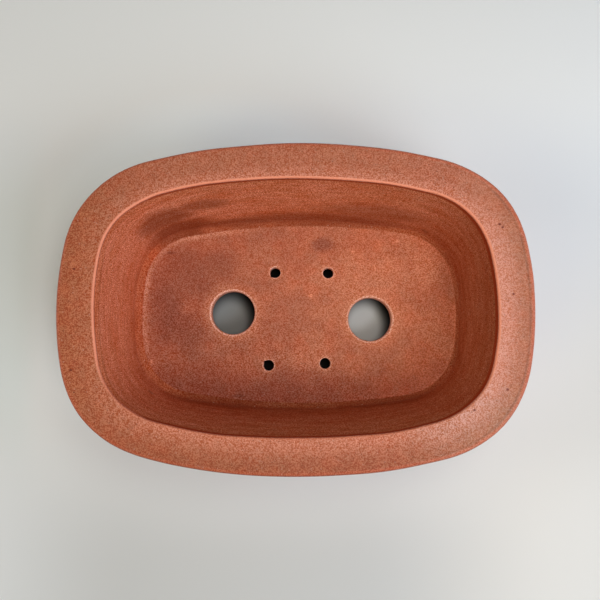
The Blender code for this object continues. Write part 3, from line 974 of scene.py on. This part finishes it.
def make_pieces():
    """The pot: its lip, wall, floor and four feet."""
    dress(make_lip(), ["lip"], lip_material())
    dress(make_wall(), ["wall"], wall_material())
    dress(make_floor(), ["floor_slab", "joint_coil"], floor_material())
    foot = foot_material()
    for end in ("front", "back"):
        for side in ("left", "right"):
            dress(make_foot(end, side), [f"foot_{end}_{side}"], foot)


def shows_backdrop(tree):
    """1 where a ray comes from the camera, or from gloss or glass, and 0 where it is other light."""
    rays = tree.nodes.new("ShaderNodeLightPath").outputs
    share = rays["Is Camera Ray"]
    for name in ("Is Glossy Ray", "Is Transmission Ray"):
        either = tree.nodes.new("ShaderNodeMath")
        either.operation = "MAXIMUM"
        tree.links.new(share, either.inputs[0])
        tree.links.new(rays[name], either.inputs[1])
        share = either.outputs[0]
    return share


def table_material():
    """The pale table, with painted light behind and near the pot, painted shade at its left, its front and
    its front right corner, and painted shade under the pot, lifted by painted light below the drain holes.
    """
    graph = Graph("table_top", specular=0.1)
    # Painted light behind the pot and near it, and painted shade at its left, at the front right corner and
    # at the front
    behind = graph.step(graph.y, 110, 190)
    colour = graph.mix(behind, TABLE_TONE, TABLE_LIGHT_BEHIND)
    near = graph.spot((-60, 30, 0), (155, 136, 1), soft=0.15)
    colour = graph.mix(near, colour, TABLE_LIGHT_NEAR)
    left = graph.math("MULTIPLY", graph.step(graph.x, -192, -216), graph.band(graph.y, -90, 110, soft=60))
    colour = graph.mix(left, colour, TABLE_SHADE_LEFT)
    corner = graph.step(graph.math("SUBTRACT", graph.x, graph.y), 130, 330)
    colour = graph.mix(corner, colour, TABLE_CORNER_SHADE)
    shaded = graph.math("MULTIPLY", graph.step(graph.y, -40, -190), graph.band(graph.x, -200, 120, soft=80))
    colour = graph.mix(shaded, colour, TABLE_SHADED)
    # Painted shade under the pot, lifted by painted light below the drain holes
    dark = graph.spot((0, 0, 0), (112, 62, 1), soft=0.15)
    for x, y, half_length, half_width, share in LIGHT_BELOW:
        below = graph.spot((x, y, 0), (half_length, half_width, 1), soft=0.4)
        dark = graph.math("MULTIPLY", dark, graph.math("MULTIPLY_ADD", below, -share, 1.0))
    colour = graph.mix(dark, colour, TABLE_UNDER_POT)
    graph.tree.links.new(colour, graph.shader.inputs["Base Color"])
    graph.shader.inputs["Roughness"].default_value = TABLE_ROUGHNESS
    # Far from the pot, where the lamps don't reach, the table goes over into the backdrop
    far = graph.step(graph.vector("LENGTH", graph.place), TABLE_FADE_START * MM, TABLE_FADE_END * MM)
    share = graph.math("MULTIPLY", far, shows_backdrop(graph.tree))
    backdrop = graph.add("ShaderNodeEmission", {"Color": BACKDROP}).outputs[0]
    faded = graph.add("ShaderNodeMixShader", {0: share, 1: graph.shader.outputs[0], 2: backdrop}).outputs[0]
    output = next(node for node in graph.tree.nodes if node.type == "OUTPUT_MATERIAL")
    graph.tree.links.new(faded, output.inputs["Surface"])
    return graph.material


def make_stage():
    """The table that the pot stands on."""
    bpy.ops.mesh.primitive_plane_add(size=TABLE_SIZE)
    table = bpy.context.object
    table.name = "table"
    table.data.materials.append(table_material())
    table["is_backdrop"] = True


def make_lamp(name, azimuth, elevation, distance, size, power, colour):
    """A soft lamp that faces the pot from a direction in degrees, where 0 is +X and 90 is the back."""
    turn, rise = math.radians(azimuth), math.radians(elevation)
    towards = Vector((math.cos(turn) * math.cos(rise), math.sin(turn) * math.cos(rise), math.sin(rise)))
    data = bpy.data.lights.new(name, "AREA")
    data.shape = "DISK"
    data.size = size
    data.energy = power
    data.color = colour
    lamp = bpy.data.objects.new(name, data)
    lamp.location = towards * distance
    lamp.rotation_euler = towards.to_track_quat("Z", "Y").to_euler()
    bpy.context.scene.collection.objects.link(lamp)


def make_world():
    """A world that lights the pot very little, and that the camera and gloss see as the pale backdrop."""
    world = bpy.data.worlds.new("studio")
    world.use_nodes = True
    tree = world.node_tree
    tone = tree.nodes.new("ShaderNodeMix")
    tone.data_type = "RGBA"
    tone.inputs[6].default_value = WORLD_LIGHT
    tone.inputs[7].default_value = BACKDROP
    background = tree.nodes["Background"]
    tree.links.new(shows_backdrop(tree), tone.inputs[0])
    tree.links.new(tone.outputs[2], background.inputs["Color"])
    background.inputs["Strength"].default_value = 1.0
    bpy.context.scene.world = world


def make_light():
    """The lamps, the world and the plain display."""
    for lamp in LAMPS:
        make_lamp(*lamp)
    make_world()
    bpy.context.scene.view_settings.view_transform = "Standard"


def make_camera():
    """The camera, which looks down into the pot from almost straight above."""
    data = bpy.data.cameras.new("camera")
    data.sensor_width = SENSOR_WIDTH
    data.lens = CAMERA_LENS
    data.clip_start = CLIP_START
    camera = bpy.data.objects.new("camera", data)
    camera.location = (CAMERA_X, CAMERA_Y, POT_TOP + CAMERA_ABOVE_LIP)
    camera.rotation_euler = (CAMERA_TILT, 0, 0)
    bpy.context.scene.collection.objects.link(camera)
    bpy.context.scene.camera = camera


def write_sizes():
    """Works out the box of the solids and the box of the dressed pot, as lists of corners."""
    boxes = {"cad": CAD_BOX, "visual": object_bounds()}
    boxes = {name: [list(corner) for corner in box] for name, box in boxes.items()}


make_pieces()
make_stage()
make_light()
make_camera()
write_sizes()
